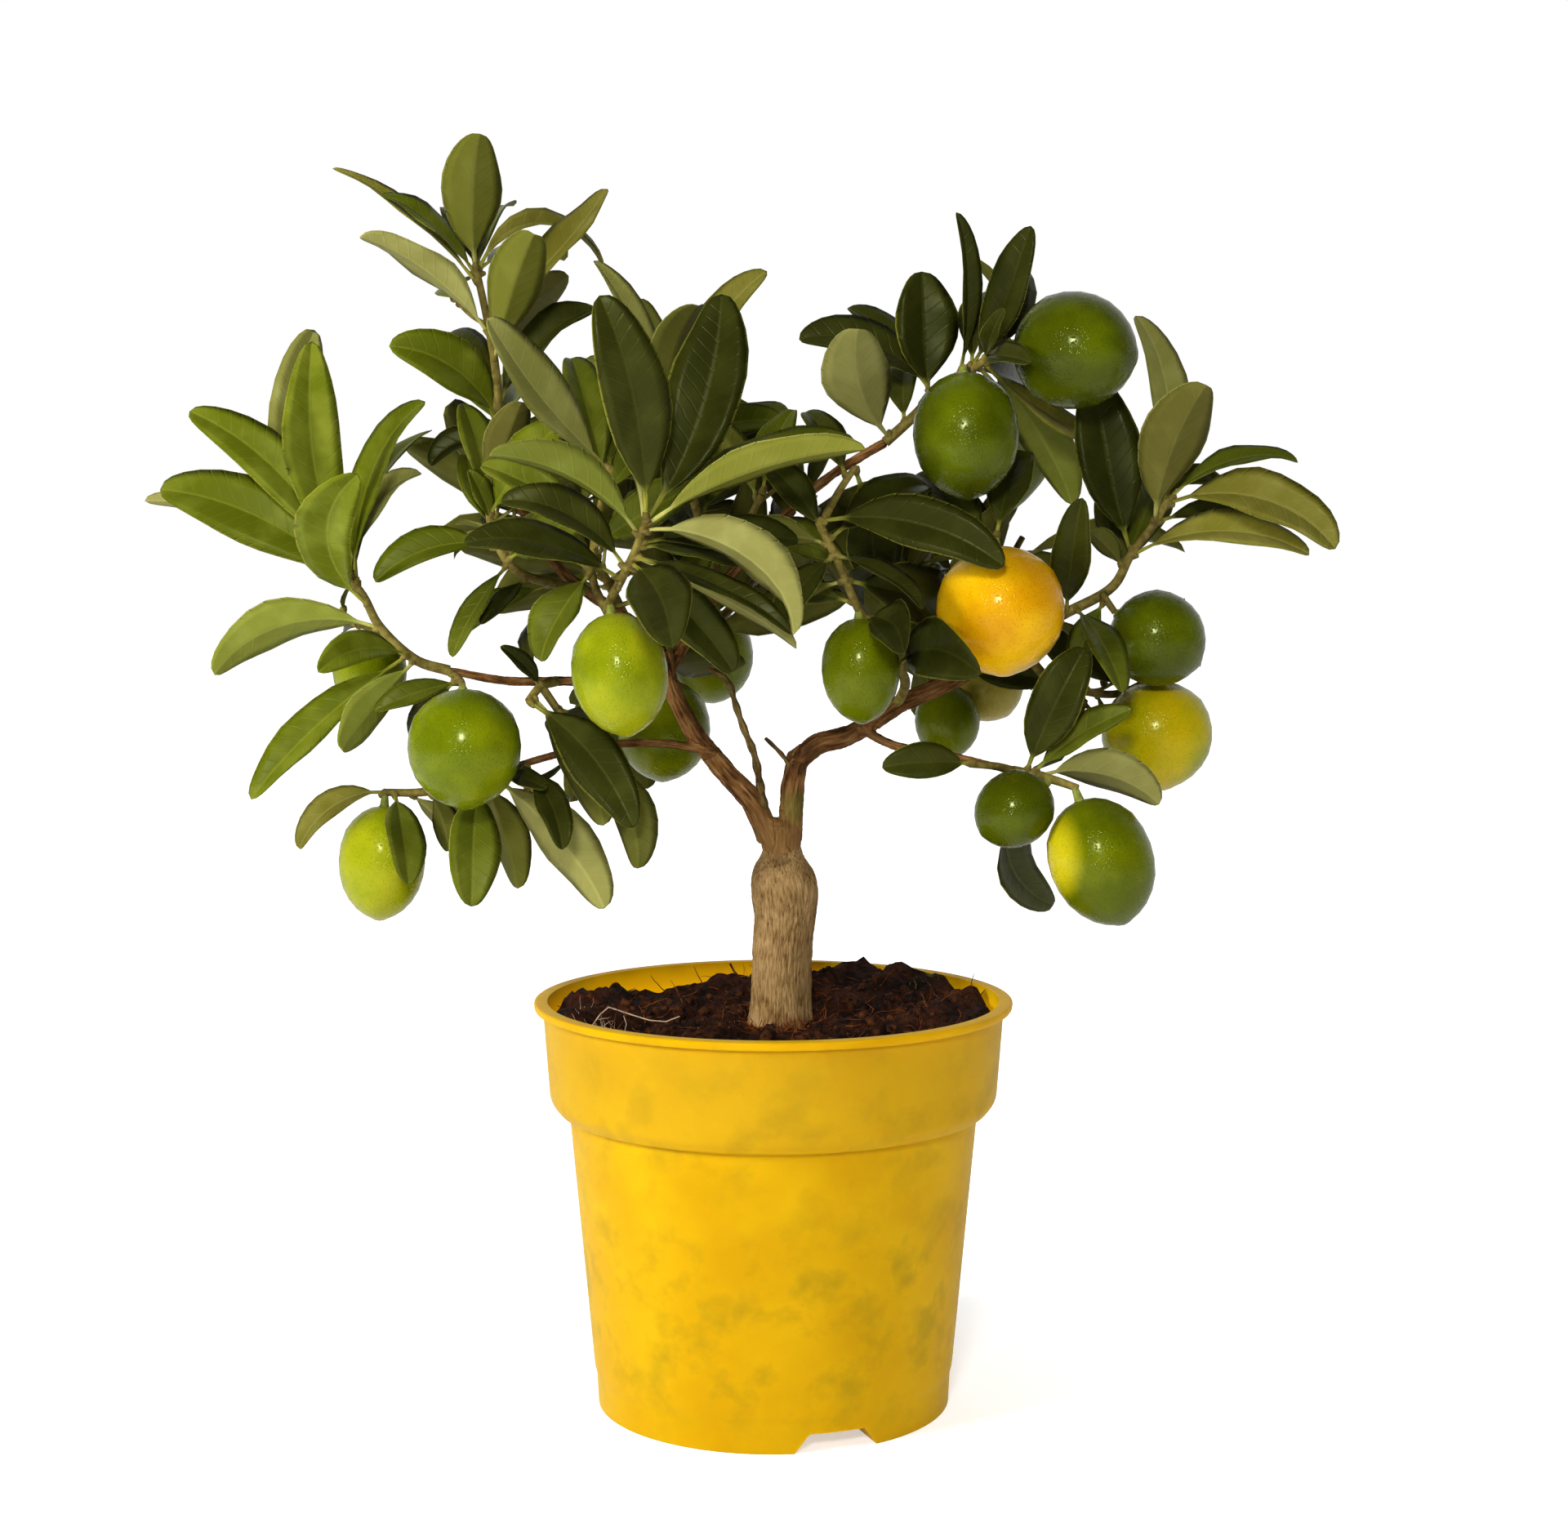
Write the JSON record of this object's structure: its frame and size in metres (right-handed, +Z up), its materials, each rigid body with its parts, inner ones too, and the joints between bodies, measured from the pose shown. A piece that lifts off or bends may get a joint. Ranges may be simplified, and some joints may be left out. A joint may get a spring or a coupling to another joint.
{
  "type": "potted limequat tree",
  "caption": "Small grafted citrus tree with a leafy forked crown and hanging oval fruit, standing in peat in a round plastic nursery pot.",
  "frame": {"origin": "centre of the flat ring that the pot stands on, on the pot's axis", "axes": "+Z up along the pot's axis, -Y towards the front of the picture, +X to its right"},
  "size_m": [0.4377, 0.2699, 0.4706],
  "materials": {
    "yellow_plastic": "satin, with greenish grey blotches",
    "peat": "matt, crumbly and fibrous",
    "trunk_bark": "matt, fine upright fissures",
    "bough_bark": "matt, smooth young bark",
    "dead_wood": "matt, dry",
    "foliage": "semi-gloss leaves and glossy fruit"
  },
  "bodies": {
    "root": {"pot": "yellow_plastic", "soil": "peat", "trunk": "trunk_bark", "right_leader": "bough_bark", "left_bough": "bough_bark", "right_bough": "bough_bark", "left_branch": "bough_bark", "lower_left_branch": "bough_bark", "top_left_branch": "bough_bark", "top_right_branch": "bough_bark", "lower_right_branch": "bough_bark", "dead_twig": "dead_wood", "dead_stub": "dead_wood", "top_left_mass": "foliage", "left_mass": "foliage", "lower_left_mass": "foliage", "front_left_mass": "foliage", "mid_left_mass": "foliage", "front_mass": "foliage", "centre_mass": "foliage", "top_right_mass": "foliage", "right_mass": "foliage", "right_low_mass": "foliage", "mid_right_mass": "foliage", "lower_right_mass": "foliage", "back_left_mass": "foliage", "back_low_mass": "foliage", "back_mass": "foliage", "back_right_mass": "foliage"}
  },
  "joints": []
}
